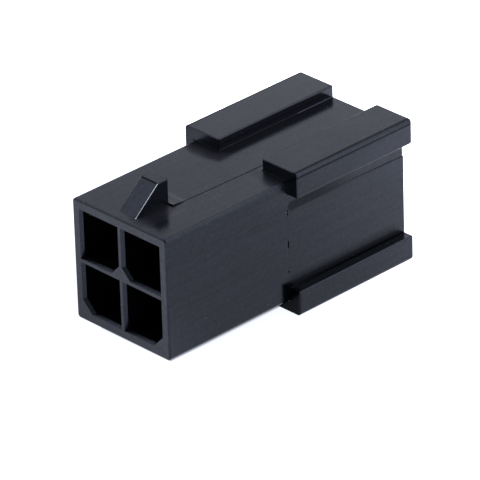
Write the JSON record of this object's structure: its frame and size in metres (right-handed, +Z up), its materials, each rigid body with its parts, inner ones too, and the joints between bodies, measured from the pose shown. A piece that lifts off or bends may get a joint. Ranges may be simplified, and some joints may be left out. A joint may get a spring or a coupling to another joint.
{
  "type": "rectangular connector housing",
  "caption": "Small square plug housing in black nylon with keyed mating cells, corner rails and a sloped latch ramp, open to the rear for crimped pin contacts.",
  "frame": {"origin": "middle of the housing's footprint, on the surface that its lower rails stand on", "axes": "+Y from the mating face to the wire side, +Z up through the latch ramp, +X to the right when looking into the mating face"},
  "size_m": [0.008, 0.0166, 0.0088],
  "materials": {
    "black_nylon": "satin moulded nylon, near black, with polished edges and a faint speckle"
  },
  "bodies": {
    "root": {"plug_housing": "black_nylon"}
  },
  "joints": []
}
